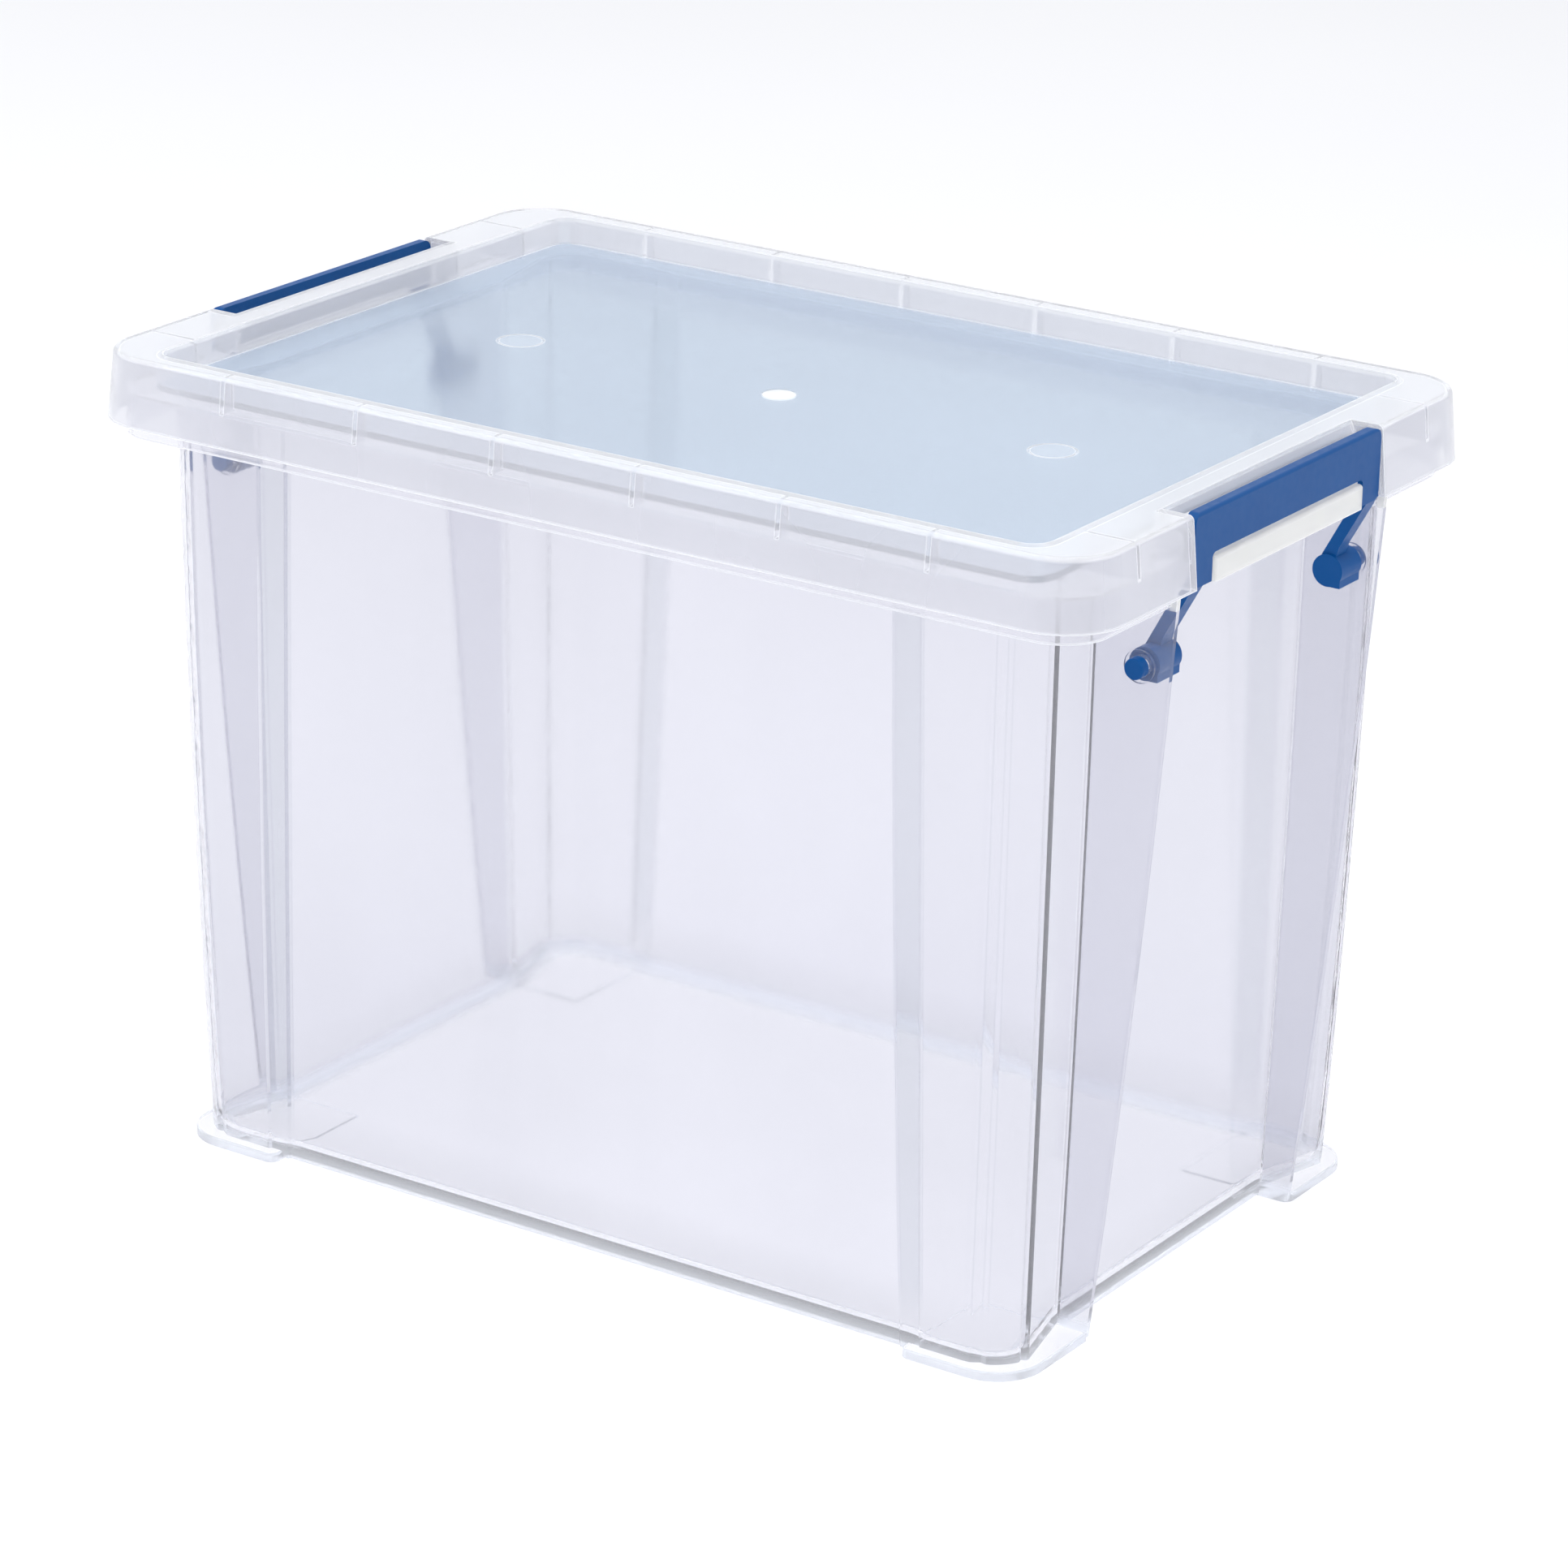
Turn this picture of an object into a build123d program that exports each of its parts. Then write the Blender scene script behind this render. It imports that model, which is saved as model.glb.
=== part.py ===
from build123d import *
import os
from math import cos, radians, sin

# Clip-lid storage box. Millimetres, +Z up, origin under the middle of the base.

# Lid
lid_length = 400.0
lid_width = 255.0
lid_corner = 21.0
box_height = 291.4
skirt_drop = 24.6
skirt_flare = 2.35
lid_wall = 2.0
panel_length = 356.0
panel_width = 238.0
panel_corner = 8.0
panel_depth = 10.3
rib_pitch = 56.7
rib_wall = 1.6
mark_radius = 8.5
mark_offset = 110.0
dish_radius = 6.3
dish_depth = 0.9

# Notch in each end of the lid, where the clip closes
notch_half = 62.2
notch_inner = 188.0
notch_step = 190.2
notch_slope_top = 195.5
notch_face = 197.9
notch_dip = 4.6
notch_face_top = 7.0
notch_face_bottom = 275.3

# Tub wall
wall = 2.2
base_z = 0.8
floor_top = 3.0
floor_fillet = 8.0
mid_z = 110.0
rim_bottom = 261.5
rim_top = 277.5
rim_plate = 2.0
rim_length = 392.0
rim_width = 247.0
rim_corner = 17.0
column_corner = 18.0
panel_recess = 1.8
step_run = 0.9
groove_depth = 1.2
groove_turns = ((8.4, 20.0, 26.5), (62.9, 67.5, 73.0))
recess_turn = 76.0
rim_notch_half = 66.0
rim_notch_x = 188.0

# Feet, fins and hand grip of the tub
foot_length = 354.0
foot_width = 233.6
foot_corner = 18.0
foot_height = 3.2
foot_inner_x = 132.5
fin_inner = 67.5
fin_wall = 2.0
fin_outer = fin_inner + fin_wall
grip_reach = 201.4
grip_half = 49.3
grip_bottom = 266.0
grip_top = 274.5

# Clip handle
pivot_x = 187.0
pivot_z = 240.5
pin_radius = 3.6
hole_radius = 3.68
pin_end = 74.0
hub_radius = 5.7
hub_inner = 53.0
hub_outer = 66.5
clip_half = 61.2
clip_face = 200.4
clip_back = 198.4
clip_bottom = 266.4
clip_edge = 1.2
hook_inner = 196.4
window_half = 49.7
window_top = 275.9
leg_inner = 54.0

os.makedirs("parts", exist_ok=True)


def corner_point(a, b, turn, radius):
    """Point on a circle about the corner column's axis, turned from +Y towards +X by that many degrees."""
    return (a - column_corner + radius * sin(radians(turn)), b - column_corner + radius * cos(radians(turn)))


def beyond(root, tip):
    """The tip moved a little further from the root, so that a cut runs clear of the wall."""
    return (root[0] + 1.5 * (tip[0] - root[0]), root[1] + 1.5 * (tip[1] - root[1]))


def wall_sketch(z, a, b, strip_in, strip_out, end_recess, inset=0.0):
    """Outline of the tub wall at one height: panels between corner columns, moved in by inset."""
    with BuildSketch(Plane.XY.offset(z)) as outline:
        RectangleRounded(2 * (a - inset), 2 * (b - inset), column_corner - inset)
        for side in (1, -1):
            floor_y = b - inset - panel_recess
            shelf = [] if inset else [(strip_in + step_run, b - panel_recess / 2),
                                      (strip_out - step_run, b - panel_recess / 2)]
            right = [(strip_in, floor_y)] + shelf + [(strip_out, b - inset), (strip_out, b + 5)]
            left = [(-px, py) for px, py in reversed(right)]
            with BuildLine():
                Polyline(*[(px, side * py) for px, py in right + left], close=True)
            make_face(mode=Mode.SUBTRACT)
            x, y = corner_point(a, b, recess_turn, column_corner - inset)
            with BuildLine():
                Polyline((side * (a - end_recess - inset), fin_outer), (side * x, y),
                         (side * (a + 5), y + 1), (side * (a + 5), -y - 1), (side * x, -y),
                         (side * (a - end_recess - inset), -fin_outer), close=True)
            make_face(mode=Mode.SUBTRACT)
        if inset == 0:
            for first, middle_turn, last in groove_turns:
                root = corner_point(a, b, middle_turn, column_corner - groove_depth)
                one = beyond(root, corner_point(a, b, first, column_corner))
                two = beyond(root, corner_point(a, b, last, column_corner))
                for x, y in ((1, 1), (1, -1), (-1, 1), (-1, -1)):
                    with BuildLine():
                        Polyline(*[(x * px, y * py) for px, py in (root, one, two)], close=True)
                    make_face(mode=Mode.SUBTRACT)
    return outline.sketch


base = (172.6, 112.3, 129.0, 138.0, 7.6)
middle = (175.9, 115.6, 126.0, 137.0, 8.2)
top = (178.1, 117.9, 122.4, 134.4, 8.6)

# ---- Tub ----
with BuildPart() as cavity:
    add(wall_sketch(floor_top, *base, inset=wall))
    add(wall_sketch(mid_z, *middle, inset=wall))
    add(wall_sketch(rim_bottom, *top, inset=wall))
    loft()
    extrude(cavity.faces().sort_by(Axis.Z)[-1], amount=rim_top - rim_bottom + 1)
    fillet(cavity.edges().group_by(Axis.Z)[0], radius=floor_fillet)

with BuildPart() as feet:
    with BuildSketch():
        RectangleRounded(foot_length, foot_width, foot_corner)
        Rectangle(2 * foot_inner_x, foot_width + 2, mode=Mode.SUBTRACT)
        Rectangle(foot_length + 2, 2 * fin_inner, mode=Mode.SUBTRACT)
    extrude(amount=foot_height)
    foot_ends = feet.edges().filter_by(Axis.Z).filter_by(
        lambda e: (abs(abs(e.center().X) - foot_inner_x) < 0.01 and abs(e.center().Y) > fin_inner + 1)
        or (abs(abs(e.center().Y) - fin_inner) < 0.01 and abs(e.center().X) > foot_inner_x + 1))
    fillet(foot_ends, radius=3.5)
    fillet(feet.edges().group_by(Axis.Z)[-1], radius=0.9)

with BuildPart() as tub:
    add(wall_sketch(base_z, *base))
    add(wall_sketch(mid_z, *middle))
    add(wall_sketch(rim_bottom, *top))
    loft()

    # Rim: a flat flange with a turned-down edge, stepped in behind each clip
    with BuildSketch(Plane.XY.offset(rim_bottom)):
        RectangleRounded(rim_length, rim_width, rim_corner)
        with Locations((rim_notch_x + 20, 0), (-rim_notch_x - 20, 0)):
            Rectangle(40, 2 * rim_notch_half, mode=Mode.SUBTRACT)
    extrude(amount=rim_top - rim_bottom)
    with BuildSketch(Plane.XY.offset(rim_bottom)) as ring:
        RectangleRounded(rim_length - 2 * rim_plate, rim_width - 2 * rim_plate, rim_corner - rim_plate)
        with Locations((rim_notch_x + 20 - rim_plate, 0), (-rim_notch_x - 20 + rim_plate, 0)):
            Rectangle(40, 2 * (rim_notch_half + rim_plate), mode=Mode.SUBTRACT)
        add(wall_sketch(0, *top), mode=Mode.SUBTRACT)
    extrude(amount=rim_top - rim_bottom - rim_plate, mode=Mode.SUBTRACT)

    # Hand grip across each end
    for side in (1, -1):
        grip_depth = grip_reach - rim_notch_x + rim_plate
        with BuildSketch(Plane.XY.offset(grip_bottom)):
            with Locations((side * (grip_reach - grip_depth / 2), 0)):
                Rectangle(grip_depth, 2 * grip_half)
        extrude(amount=grip_top - grip_bottom)
        with BuildSketch(Plane.XY.offset(grip_bottom)):
            with Locations((side * (rim_notch_x + (grip_reach - rim_plate - rim_notch_x) / 2), 0)):
                Rectangle(grip_reach - rim_plate - rim_notch_x, 2 * (grip_half - rim_plate))
            with Locations((side * rim_notch_x, 25), (side * rim_notch_x, -25)):
                Rectangle(40, rib_wall, mode=Mode.SUBTRACT)
        extrude(amount=grip_top - grip_bottom - rim_plate, mode=Mode.SUBTRACT)
    grip_corners = tub.edges().filter_by(Axis.Z).filter_by(
        lambda e: abs(abs(e.center().X) - grip_reach) < 0.01 and abs(abs(e.center().Y) - grip_half) < 0.01)
    fillet(grip_corners, radius=1.9)
    fillet(tub.faces().filter_by(Axis.Z).sort_by(lambda f: abs(f.center().Z - grip_top))[0:2].edges()
           .filter_by(lambda e: abs(e.center().X) > rim_notch_x + 1), radius=1.2)

    # Pivot fins, two on each end
    with BuildSketch(Plane.XZ.offset(-fin_inner)) as fin:
        with BuildLine():
            edge = ThreePointArc((176.4, base_z), (189.3, 130), (199.6, 265.9))
            Polyline((199.6, 265.9), (187, 265.9), (187, 270), (166, 270), (162, base_z), (176.4, base_z))
        make_face()
        mirror(about=Plane.YZ)
    extrude(amount=-fin_wall)
    with Locations((pivot_x, fin_inner + fin_wall, pivot_z), (-pivot_x, fin_inner + fin_wall, pivot_z)):
        Cylinder(5.6, 1.0, rotation=(-90, 0, 0), align=(Align.CENTER, Align.CENTER, Align.MIN))
    with BuildSketch(Plane.XZ.offset(fin_inner)):
        add(fin.sketch.moved(Location((0, -2 * fin_inner, 0))))
    extrude(amount=fin_wall)
    with Locations((pivot_x, -fin_inner - fin_wall, pivot_z), (-pivot_x, -fin_inner - fin_wall, pivot_z)):
        Cylinder(5.6, 1.0, rotation=(90, 0, 0), align=(Align.CENTER, Align.CENTER, Align.MIN))
    with Locations((pivot_x, 0, pivot_z), (-pivot_x, 0, pivot_z)):
        Cylinder(hole_radius, 160, rotation=(90, 0, 0), mode=Mode.SUBTRACT)

    add(feet.part)
    add(cavity.part, mode=Mode.SUBTRACT)

# ---- Lid ----
with BuildPart() as lid:
    with BuildSketch(Plane.XY.offset(box_height - skirt_drop)):
        RectangleRounded(lid_length + 2 * skirt_flare, lid_width + 2 * skirt_flare, lid_corner + skirt_flare)
    with BuildSketch(Plane.XY.offset(box_height)):
        RectangleRounded(lid_length, lid_width, lid_corner)
    loft()
    fillet(lid.edges().group_by(Axis.Z)[-1], radius=2.0)

    # Hollow behind the skirt, then the channel under the raised rim
    skirt_in = lid_wall + 0.2
    with BuildSketch(Plane.XY.offset(box_height - skirt_drop)):
        RectangleRounded(lid_length + 2 * (skirt_flare - skirt_in), lid_width + 2 * (skirt_flare - skirt_in),
                         lid_corner + skirt_flare - skirt_in)
    with BuildSketch(Plane.XY.offset(box_height - lid_wall)):
        RectangleRounded(lid_length - 2 * lid_wall, lid_width - 2 * lid_wall, lid_corner - lid_wall)
    loft(mode=Mode.SUBTRACT)
    with BuildSketch(Plane.XY.offset(box_height - panel_depth - lid_wall)):
        RectangleRounded(panel_length + 2 * lid_wall, panel_width + 2 * lid_wall, panel_corner + lid_wall)
    extrude(until=Until.LAST)
    with BuildSketch(Plane.XY.offset(box_height - panel_depth)):
        RectangleRounded(panel_length, panel_width, panel_corner)
    extrude(amount=panel_depth + 5, mode=Mode.SUBTRACT)

    # Ribs across the channel
    rib_bottom = rim_top + 0.4
    for x in (0.5, 1.5, 2.5, -0.5, -1.5, -2.5):
        for y in (1, -1):
            with Locations((x * rib_pitch, y * (panel_width / 2 + 4.5), rib_bottom)):
                Box(rib_wall, 6.5, box_height - 1 - rib_bottom, align=(Align.CENTER, Align.CENTER, Align.MIN))
    for x in (1, -1):
        for y in (95, -95):
            with Locations((x * (panel_length / 2 + 11), y, rib_bottom)):
                Box(20, rib_wall, box_height - 1 - rib_bottom, align=(Align.CENTER, Align.CENTER, Align.MIN))

    # Notch at each end, closed by a sloped seat, a face and two end caps
    notch_middle = notch_inner + 20
    with Locations((notch_middle, 0, box_height), (-notch_middle, 0, box_height)):
        Box(40, 2 * notch_half, 60, mode=Mode.SUBTRACT)
    seat_low = box_height - notch_face_top
    with BuildSketch(Plane.XZ.offset(-notch_half - 0.1)) as seat:
        with BuildLine():
            Polyline((notch_inner - 1, box_height), (notch_inner, box_height),
                     (notch_step, box_height - notch_dip + 0.4), (notch_slope_top, box_height - notch_dip),
                     (notch_face, seat_low), (notch_face, notch_face_bottom),
                     (notch_face - lid_wall, notch_face_bottom), (notch_face - lid_wall, seat_low - 0.9),
                     (notch_slope_top - 0.9, box_height - notch_dip - lid_wall),
                     (notch_step - 1.1, box_height - notch_dip + 0.4 - lid_wall),
                     (notch_inner - 1.1, box_height - lid_wall), close=True)
        make_face()
        mirror(about=Plane.YZ)
    extrude(amount=2 * notch_half + 0.2)
    with BuildSketch(Plane.XZ.offset(-notch_half - lid_wall)) as cap:
        with BuildLine():
            Polyline((notch_inner - 1, box_height - 1), (198.4, box_height - 1), (199.6, box_height - 3),
                     (201.9, box_height - skirt_drop), (191, box_height - skirt_drop), (191, rib_bottom),
                     (notch_inner - 1, rib_bottom), close=True)
        make_face()
        mirror(about=Plane.YZ)
    extrude(amount=lid_wall)
    with BuildSketch(Plane.XZ.offset(notch_half)):
        add(cap.sketch.moved(Location((0, -2 * notch_half - lid_wall, 0))))
    extrude(amount=lid_wall)

    # Shallow ring marks and the middle dish on the panel
    with BuildSketch(Plane.XY.offset(box_height - panel_depth)):
        with Locations((mark_offset, 0), (-mark_offset, 0)):
            Circle(mark_radius)
            Circle(mark_radius - 0.8, mode=Mode.SUBTRACT)
    extrude(amount=-0.5, mode=Mode.SUBTRACT)
    dish_curve = (dish_radius ** 2 + dish_depth ** 2) / (2 * dish_depth)
    with Locations((0, 0, box_height - panel_depth - dish_depth + dish_curve)):
        Sphere(dish_curve, mode=Mode.SUBTRACT)

# ---- Clip handles ----
with BuildPart() as right_clip:
    with BuildSketch(Plane.XZ.offset(-clip_half)):
        with BuildLine():
            crest = box_height - 0.2
            RadiusArc((clip_face - clip_edge, crest), (clip_face, crest - clip_edge), clip_edge)
            Polyline((clip_face - clip_edge, crest), (hook_inner, crest), (hook_inner, crest - 4.4),
                     (clip_back, crest - 6.5), (clip_back, clip_bottom), (clip_face, clip_bottom),
                     (clip_face, crest - clip_edge))
        make_face()
    extrude(amount=2 * clip_half)
    with BuildSketch(Plane.YZ.offset(clip_back - 3)):
        with Locations((0, window_top)):
            Rectangle(2 * window_half, 20, align=(Align.CENTER, Align.MAX))
    extrude(amount=10, mode=Mode.SUBTRACT)
    fillet(right_clip.edges().filter_by(Axis.X).filter_by(
        lambda e: e.center().Z > window_top - 1 and abs(e.center().Y) < clip_half - 1), radius=2.0)
    with BuildSketch(Plane.YZ.offset(hook_inner - 5)) as plate:
        with Locations((0, clip_bottom)):
            Rectangle(2 * clip_half, crest - clip_bottom, align=(Align.CENTER, Align.MIN))
        fillet(plate.vertices().group_by(Axis.Z)[-1], radius=3.5)
    extrude(amount=20, mode=Mode.INTERSECT)

    # Legs slant in and down to the hubs
    for side in (1, -1):
        with BuildSketch(Plane.XZ.offset(-side * leg_inner)):
            with BuildLine():
                Polyline((clip_face, clip_bottom + 0.9), (clip_face, clip_bottom + 1.4),
                         (clip_back, clip_bottom + 6.0), (182.6, 242.8), (188.0, 240.0), (190.4, 248.9),
                         close=True)
            make_face()
        extrude(amount=-side * (clip_half - leg_inner))
        with BuildSketch(Plane.XZ.offset(-side * hub_inner)):
            with Locations((pivot_x, pivot_z)):
                Circle(hub_radius)
            with BuildLine():
                Polyline((pivot_x, pivot_z), (pivot_x + 5.0, pivot_z), (pivot_x + 4.9, pivot_z - 5.6),
                         (pivot_x + 1.6, pivot_z - 5.6), close=True)
            make_face()
        extrude(amount=-side * (hub_outer - hub_inner))
        with BuildSketch(Plane.XZ.offset(-side * hub_outer)):
            with Locations((pivot_x, pivot_z)):
                Circle(pin_radius)
        extrude(amount=-side * (pin_end - hub_outer))
    fillet(right_clip.edges().filter_by(GeomType.CIRCLE).filter_by(
        lambda e: abs(abs(e.center().Y) - pin_end) < 0.01), radius=0.5)

with BuildPart() as left_clip:
    add(right_clip.part.mirror(Plane.YZ))

tub.part.label = "tub"
lid.part.label = "lid"
right_clip.part.label = "right_clip_handle"
left_clip.part.label = "left_clip_handle"
export_step(tub.part, "parts/tub.step")
export_step(lid.part, "parts/lid.step")
export_step(right_clip.part, "parts/right_clip_handle.step")
export_step(left_clip.part, "parts/left_clip_handle.step")
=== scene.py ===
import math

import bpy
from mathutils import Matrix, Vector


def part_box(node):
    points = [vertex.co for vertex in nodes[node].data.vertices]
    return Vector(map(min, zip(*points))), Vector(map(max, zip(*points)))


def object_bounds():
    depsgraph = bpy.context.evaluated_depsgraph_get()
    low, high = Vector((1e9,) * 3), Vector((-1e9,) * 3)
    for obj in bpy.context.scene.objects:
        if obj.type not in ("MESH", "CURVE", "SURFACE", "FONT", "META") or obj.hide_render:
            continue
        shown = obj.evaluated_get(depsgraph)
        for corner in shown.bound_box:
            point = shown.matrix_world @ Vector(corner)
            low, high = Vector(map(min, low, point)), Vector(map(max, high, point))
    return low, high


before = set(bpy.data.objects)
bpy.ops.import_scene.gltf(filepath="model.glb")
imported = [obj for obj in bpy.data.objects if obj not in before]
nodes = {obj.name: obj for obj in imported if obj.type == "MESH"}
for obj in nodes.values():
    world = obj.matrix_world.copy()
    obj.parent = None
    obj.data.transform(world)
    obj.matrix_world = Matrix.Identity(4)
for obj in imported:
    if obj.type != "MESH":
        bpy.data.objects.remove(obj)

cad_low, cad_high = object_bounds()
tub_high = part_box("tub")[1]
lid_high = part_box("lid")[1]

# Places on the tub: the lower edge of its rim, the hand grip, and the strip beside each corner column
wall_foot = 0.0008
wall_top = tub_high.z - 0.0165
grip_top = tub_high.z - 0.0025
grip_start = tub_high.x - 0.0049
strip_inner = (0.129, 0.1224)
strip_outer = (0.138, 0.1344)

# Places on the lid: its sunk panel, the dish in the middle and the two ring marks
panel_top = lid_high.z - 0.0100
panel_half_length = lid_high.x - 0.0239
panel_half_width = lid_high.y - 0.0104
dish_rim = (0.0055, 0.0064)
ring_rim = (0.0078, 0.0087)
ring_middle = (0.11, 0.0, 0.0)

# How far a change of tint spreads at the edge of a region
soft = 0.0002

# Tints
# Painted highlight: the whiter tint put on rounded edges
edge_painted_highlight = (0.97, 0.975, 0.99, 1)
passing_light = (0.97, 0.97, 0.98, 1)
# Painted shade: the lid's upright faces, the outer skirt darkest, are tinted darker than its level tops
lid_skirt_painted_shade = (0.79, 0.795, 0.83, 1)
lid_inner_wall = (0.90, 0.93, 0.96, 1)
lid_rim = (0.955, 0.968, 0.985, 1)
lid_panel = (0.64, 0.74, 0.84, 1)
lid_mark = (0.97, 0.98, 0.99, 1)
tub_rim = (0.86, 0.86, 0.89, 1)
tub_wall = (0.87, 0.87, 0.905, 1)
# Painted shade: the strip beside each corner column and the column itself are tinted darker than the wall
tub_strip_painted_shade = (0.76, 0.77, 0.81, 1)
tub_column_painted_shade = (0.845, 0.845, 0.88, 1)
# Painted light: the floors and tops of the tub are tinted lighter
tub_level_painted_light = (0.97, 0.97, 0.975, 1)
# Painted shade: the dark tint laid along shallow creases in the wall
tub_crease_painted_shade = (0.66, 0.66, 0.73, 1)
# Painted shade: upright faces tinted darker towards the foot of the wall, over the floor fillet
tub_fillet_painted_shade = (0.80, 0.80, 0.83, 1)
tub_foot = (0.87, 0.895, 0.94, 1)
tub_grip = (0.84, 0.84, 0.815, 1)
clip_blues = (0.001, 0.066, 0.245, 1), (0.002, 0.074, 0.262, 1)
floor_greys = (0.9, 0.9, 0.91, 1), (0.92, 0.92, 0.925, 1)


# ---------------------------------------------------------------- materials
class Shader:
    """A material with one Principled shader and short ways to add nodes to it."""

    def __init__(self, name, **constants):
        self.material = bpy.data.materials.new(name)
        self.material.use_nodes = True
        self.tree = self.material.node_tree
        self.surface = self.tree.nodes["Principled BSDF"]
        for key, value in constants.items():
            self.surface.inputs[key.replace("_", " ")].default_value = value
        self.place = self.add("TexCoord").outputs["Object"]

    def feed(self, socket, value):
        """Link a socket to another one, or set it to a plain value."""
        if isinstance(value, bpy.types.NodeSocket):
            self.tree.links.new(value, socket)
        else:
            socket.default_value = value

    def add(self, kind, sockets=None, **settings):
        node = self.tree.nodes.new("ShaderNode" + kind)
        for key, value in settings.items():
            setattr(node, key, value)
        for key, value in (sockets or {}).items():
            self.feed(node.inputs[key], value)
        return node

    def drive(self, key, value):
        self.feed(self.surface.inputs[key], value)

    def noise(self, scale, detail=2.0, stretch=(1, 1, 1)):
        where = self.add("Mapping", {"Vector": self.place, "Scale": stretch}).outputs[0]
        return self.add("TexNoise", {"Vector": where, "Scale": scale, "Detail": detail}).outputs["Fac"]

    def span(self, value, low, high, from_low=0.3, from_high=0.7):
        """value, from its own range to low..high, held at the ends."""
        return self.add("MapRange", {"Value": value, "From Min": from_low, "From Max": from_high,
                                     "To Min": low, "To Max": high}).outputs[0]

    def below(self, value, limit):
        """Mask: 1 where the value is under the limit."""
        return self.span(value, 1.0, 0.0, limit - soft, limit + soft)

    def blend(self, factor, first, second):
        return self.add("Mix", {0: factor, 6: first, 7: second}, data_type="RGBA").outputs[2]

    def math(self, operation, first, second=0.0, third=0.0):
        return self.add("Math", {0: first, 1: second, 2: third}, operation=operation).outputs[0]

    def vector(self, operation, first, second=(0.0, 0.0, 0.0)):
        outputs = self.add("VectorMath", {0: first, 1: second}, operation=operation).outputs
        return outputs["Value"] if operation in ("DOT_PRODUCT", "DISTANCE", "LENGTH") else outputs[0]

    def both(self, *masks):
        """Mask: 1 where all the masks are."""
        product = masks[0]
        for mask in masks[1:]:
            product = self.math("MULTIPLY", product, mask)
        return product

    def axes(self):
        """Distances from the middle of the box along X and Y, and the height."""
        x, y, z = self.add("SeparateXYZ", {"Vector": self.place}).outputs
        return self.math("ABSOLUTE", x), self.math("ABSOLUTE", y), z

    def flatness(self):
        """1 where the surface is flat, less where it turns within a millimetre."""
        rounded = self.add("Bevel", {"Radius": 0.0009}, samples=4).outputs["Normal"]
        return self.vector("DOT_PRODUCT", rounded, self.add("NewGeometry").outputs["Normal"])

    def levelness(self):
        """1 for a floor or a top, 0 for an upright wall."""
        normal = self.add("NewGeometry").outputs["Normal"]
        return self.math("ABSOLUTE", self.add("SeparateXYZ", {"Vector": normal}).outputs["Z"])

    def grain(self, scale, strength, distance):
        """Fine moulded texture."""
        height = self.noise(scale)
        bump = self.add("Bump", {"Height": height, "Strength": strength, "Distance": distance})
        self.drive("Normal", bump.outputs[0])

    def let_light_in(self, tint):
        """Lamps and soft light pass straight through, so that the inside of the box is lit."""
        path = self.add("LightPath").outputs
        passing = self.math("MAXIMUM", path["Is Shadow Ray"], path["Is Diffuse Ray"])
        bare = self.add("BsdfTransparent", {"Color": tint}).outputs[0]
        mixed = self.add("MixShader", {0: passing, 1: self.surface.outputs[0], 2: bare}).outputs[0]
        self.tree.links.new(mixed, self.tree.nodes["Material Output"].inputs["Surface"])


def frosted_with_painted_highlight(s, edge, tint, clear, haze):
    """What every clear plastic shares: rounded edges tinted whiter as a painted highlight and made less
    clear, uneven haze and a fine moulded grain.
    """
    cloud = s.span(s.noise(9.0, 3.0, (1, 1, 0.5)), 0.97, 1.0)
    # Painted highlight: rounded edges are tinted whiter
    s.drive("Base Color", s.vector("MULTIPLY", s.blend(edge, tint, edge_painted_highlight), cloud))
    s.drive("Transmission Weight", s.math("MULTIPLY_ADD", edge, -0.6, clear))
    s.drive("Roughness", s.span(s.noise(240.0), haze, haze + 0.05))
    s.grain(1500.0, 0.06, 0.0001)
    s.let_light_in(passing_light)
    return s.material


def lid_plastic(name):
    """Clear polypropylene with a pale blue panel inside a milkier rim; upright faces are tinted darker
    than level tops as painted shade, the outer skirt darkest, and rounded edges get a painted highlight.
    """
    s = Shader(name, IOR=1.3, Specular_IOR_Level=0.7)
    x, y, z = s.axes()
    inside = s.both(s.below(x, panel_half_length), s.below(y, panel_half_width))
    panel = s.both(s.below(z, panel_top), inside)
    marks = s.both(panel, panel_marks(s))

    # Painted shade: upright faces are tinted darker than level tops, the outer skirt darkest
    upright = s.blend(inside, lid_skirt_painted_shade, lid_inner_wall)
    tint = s.blend(s.span(s.levelness(), 0.0, 1.0, 0.3, 0.9), upright, lid_rim)
    tint = s.blend(panel, tint, lid_panel)
    tint = s.blend(marks, tint, lid_mark)
    clear = s.math("MULTIPLY_ADD", marks, -0.6, s.span(panel, 0.72, 0.9, 0, 1))
    # Painted highlight mask: the rounded edges of the lid
    edge = s.span(s.flatness(), 1.0, 0.0, 0.8, 0.9985)
    return frosted_with_painted_highlight(s, edge, tint, clear, 0.08)


def panel_marks(s):
    """Mask: 1 on the dish in the middle of the lid, and part way on the two ring marks."""
    flat = s.vector("MULTIPLY", s.place, (1.0, 1.0, 0.0))
    dish = s.span(s.vector("LENGTH", flat), 1.0, 0.0, *dish_rim)
    from_ring = s.vector("DISTANCE", s.vector("ABSOLUTE", flat), ring_middle)
    return s.math("ADD", dish, s.span(from_ring, 0.15, 0.0, *ring_rim))


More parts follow.
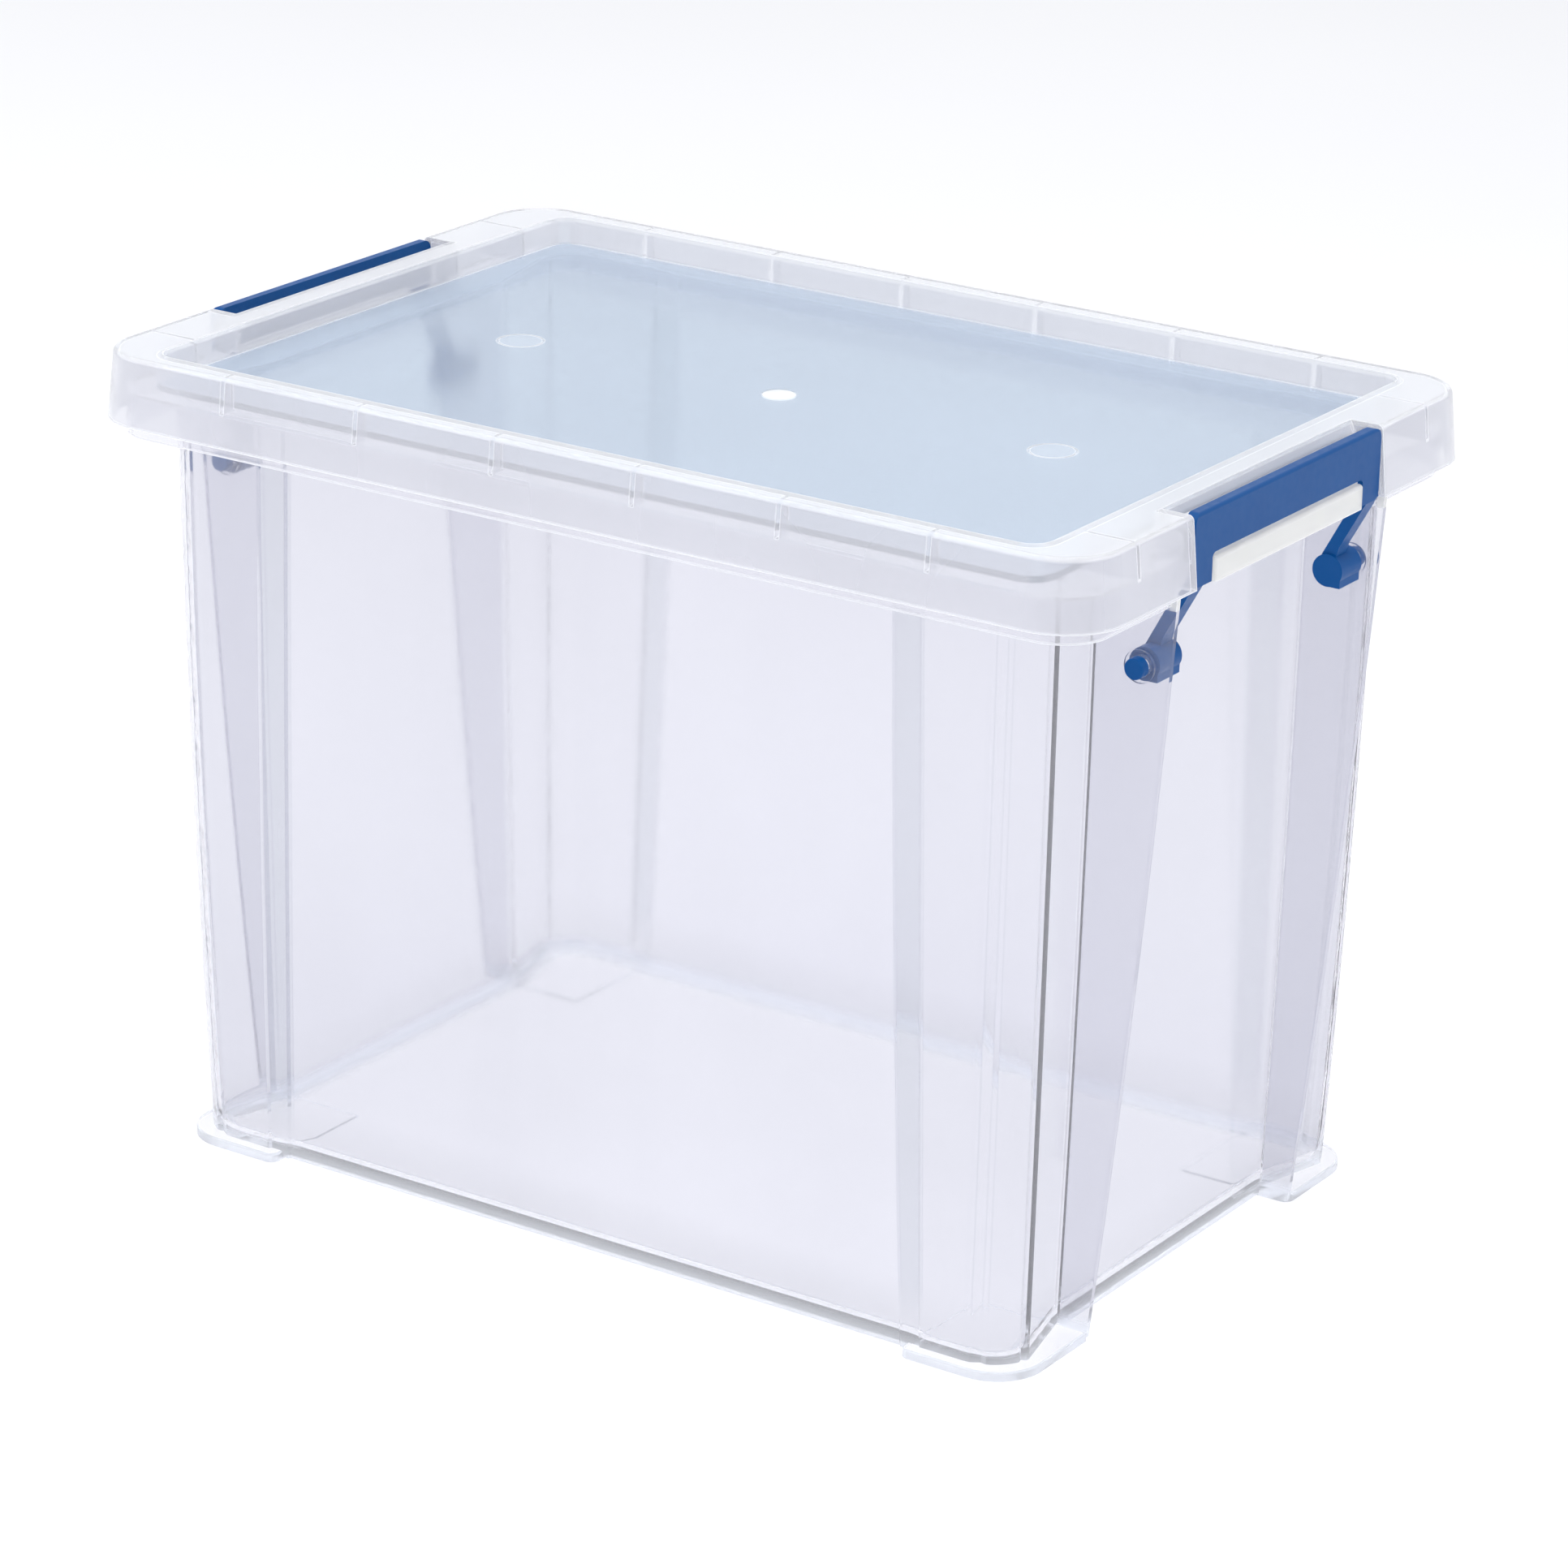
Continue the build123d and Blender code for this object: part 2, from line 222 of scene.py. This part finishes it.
def tub_plastic(name):
    """Clear polypropylene: grey walls, a clear floor and a milkier rim; the strip beside each corner
    column, the columns, the creases and the foot of the wall are tinted darker as painted shade, floors
    and tops lighter as painted light, and rounded rim edges get a painted highlight.
    """
    s = Shader(name, IOR=1.2, Specular_IOR_Level=0.9)
    x, _, z = s.axes()
    flatness = s.flatness()
    levelness = s.levelness()
    wall = s.below(z, wall_top)
    over_wall = s.math("SUBTRACT", 1.0, wall)
    upright = s.span(levelness, 1.0, 0.0, 0.9, 0.99)

    strip = s.math("GREATER_THAN", x, s.span(z, *strip_inner, wall_foot, wall_top))
    column = s.math("GREATER_THAN", x, s.span(z, *strip_outer, wall_foot, wall_top))
    # Painted shade mask: shallow creases in the wall
    crease_shade = s.both(s.span(flatness, 1.0, 0.0, 0.997, 0.9998), wall,
                    s.span(flatness, 0.25, 1.0, 0.93, 0.985), s.span(z, 0.0, 1.0, 0.012, 0.024))
    # Painted shade mask: upright faces near the bottom of the wall
    fillet_shade = s.both(s.span(z, 1.0, 0.0, 0.008, 0.026), upright)
    foot = s.both(s.span(z, 1.0, 0.0, 0.003, 0.009), upright)
    grip = s.both(s.span(x, 0.0, 1.0, grip_start, grip_start + 0.0005), s.below(z, grip_top), over_wall)

    tint = s.blend(wall, tub_rim, tub_wall)
    # Painted shade: the strip beside each corner column, then the column, tinted darker
    tint = s.blend(s.both(strip, wall), tint, tub_strip_painted_shade)
    tint = s.blend(s.both(column, wall), tint, tub_column_painted_shade)
    # Painted light: level faces, the floor and tops, tinted lighter
    tint = s.blend(s.span(levelness, 0.0, 1.0, 0.8, 0.98), tint, tub_level_painted_light)
    # Painted shade: creases tinted dark
    tint = s.blend(crease_shade, tint, tub_crease_painted_shade)
    # Painted shade: darker towards the foot of the wall
    tint = s.blend(fillet_shade, tint, tub_fillet_painted_shade)
    tint = s.blend(foot, tint, tub_foot)
    tint = s.blend(grip, tint, tub_grip)
    clear = s.math("MULTIPLY_ADD", grip, -0.25, s.span(wall, 0.75, 0.93, 0, 1))
    clear = s.math("MULTIPLY_ADD", foot, -0.35, clear)
    # Painted highlight mask: the rounded edges above the wall, on the rim
    edge = s.both(s.span(flatness, 0.9, 0.0, 0.75, 0.995), over_wall)
    return frosted_with_painted_highlight(s, edge, tint, clear, 0.06)


def blue_plastic(name):
    """Opaque blue moulded plastic with a satin gloss."""
    s = Shader(name, IOR=1.48, Specular_IOR_Level=0.18)
    s.drive("Base Color", s.blend(s.span(s.noise(35.0, 3.0), 0.0, 1.0), *clip_blues))
    s.drive("Roughness", s.span(s.noise(300.0), 0.3, 0.4))
    s.grain(2600.0, 0.12, 0.00008)
    return s.material


def floor_paint(name):
    """Pale studio floor, slightly uneven."""
    s = Shader(name, Roughness=0.9)
    s.drive("Base Color", s.blend(s.span(s.noise(1.5), 0.0, 1.0), *floor_greys))
    return s.material


clear_finishes = {"tub": tub_plastic("clear_tub"), "lid": lid_plastic("clear_lid")}
blue = blue_plastic("blue_clip")
for name, node in nodes.items():
    node.data.materials.clear()
    node.data.materials.append(clear_finishes.get(name, blue))
    # Shallow creases are kept sharp; rounded stretches turn by less than this from face to face
    split = node.modifiers.new("sharp_edges", "EDGE_SPLIT")
    split.split_angle = math.radians(14)
    split.use_edge_sharp = False
    even = node.modifiers.new("flat_faces", "WEIGHTED_NORMAL")
    even.keep_sharp = True

# ---------------------------------------------------------------- floor, lights, camera
reach = 14.0
floor_corners = [(-reach, -reach, 0), (reach, -reach, 0), (reach, reach, 0), (-reach, reach, 0)]
floor_mesh = bpy.data.meshes.new("studio_floor")
floor_mesh.from_pydata(floor_corners, [], [(0, 1, 2, 3)])
floor_mesh.materials.append(floor_paint("studio_floor"))
floor = bpy.data.objects.new("studio_floor", floor_mesh)
floor.location.z = cad_low.z - 0.0003
bpy.context.scene.collection.objects.link(floor)


def direction(azimuth, elevation):
    """Unit vector from the box towards a viewer or a lamp, both angles in degrees, azimuth 0 in front."""
    a, e = math.radians(azimuth), math.radians(elevation)
    return Vector((math.sin(a) * math.cos(e), -math.cos(a) * math.cos(e), math.sin(e)))


def softbox(name, azimuth, elevation, distance, size, power):
    """A square area light aimed at the middle of the box."""
    away = direction(azimuth, elevation)
    light = bpy.data.lights.new(name, "AREA")
    light.shape = "SQUARE"
    light.size = size
    light.energy = power
    lamp = bpy.data.objects.new(name, light)
    lamp.location = (cad_low + cad_high) / 2 + away * distance
    lamp.rotation_euler = (-away).to_track_quat("-Z", "Y").to_euler()
    bpy.context.scene.collection.objects.link(lamp)


softbox("top_light", 20, 80, 2.2, 2.6, 22)
softbox("left_light", -50, 35, 2.4, 1.6, 14)
softbox("right_light", 110, 30, 2.6, 1.8, 10)

world = bpy.data.worlds.new("studio")
bpy.context.scene.world = world
world.use_nodes = True
world.node_tree.nodes["Background"].inputs["Color"].default_value = (0.93, 0.94, 0.97, 1)
world.node_tree.nodes["Background"].inputs["Strength"].default_value = 0.88

view_azimuth = 33.66
view_elevation = 20.19
view_roll = math.radians(1.06)
view_distance = 2.0199
aim = Vector((0.0035, 0.0023, 0.1388))
back = direction(view_azimuth, view_elevation)
level = Vector((math.cos(math.radians(view_azimuth)), math.sin(math.radians(view_azimuth)), 0))
right = level * math.cos(view_roll) + back.cross(level) * math.sin(view_roll)
up = back.cross(right)
lens = bpy.data.cameras.new("camera")
lens.sensor_width = 36.0
lens.lens = 132.03
camera = bpy.data.objects.new("camera", lens)
turn = Matrix((right, up, back)).transposed().to_4x4()
camera.matrix_world = Matrix.Translation(aim + back * view_distance) @ turn
bpy.context.scene.collection.objects.link(camera)
bpy.context.scene.camera = camera
bpy.context.scene.view_settings.view_transform = "Standard"
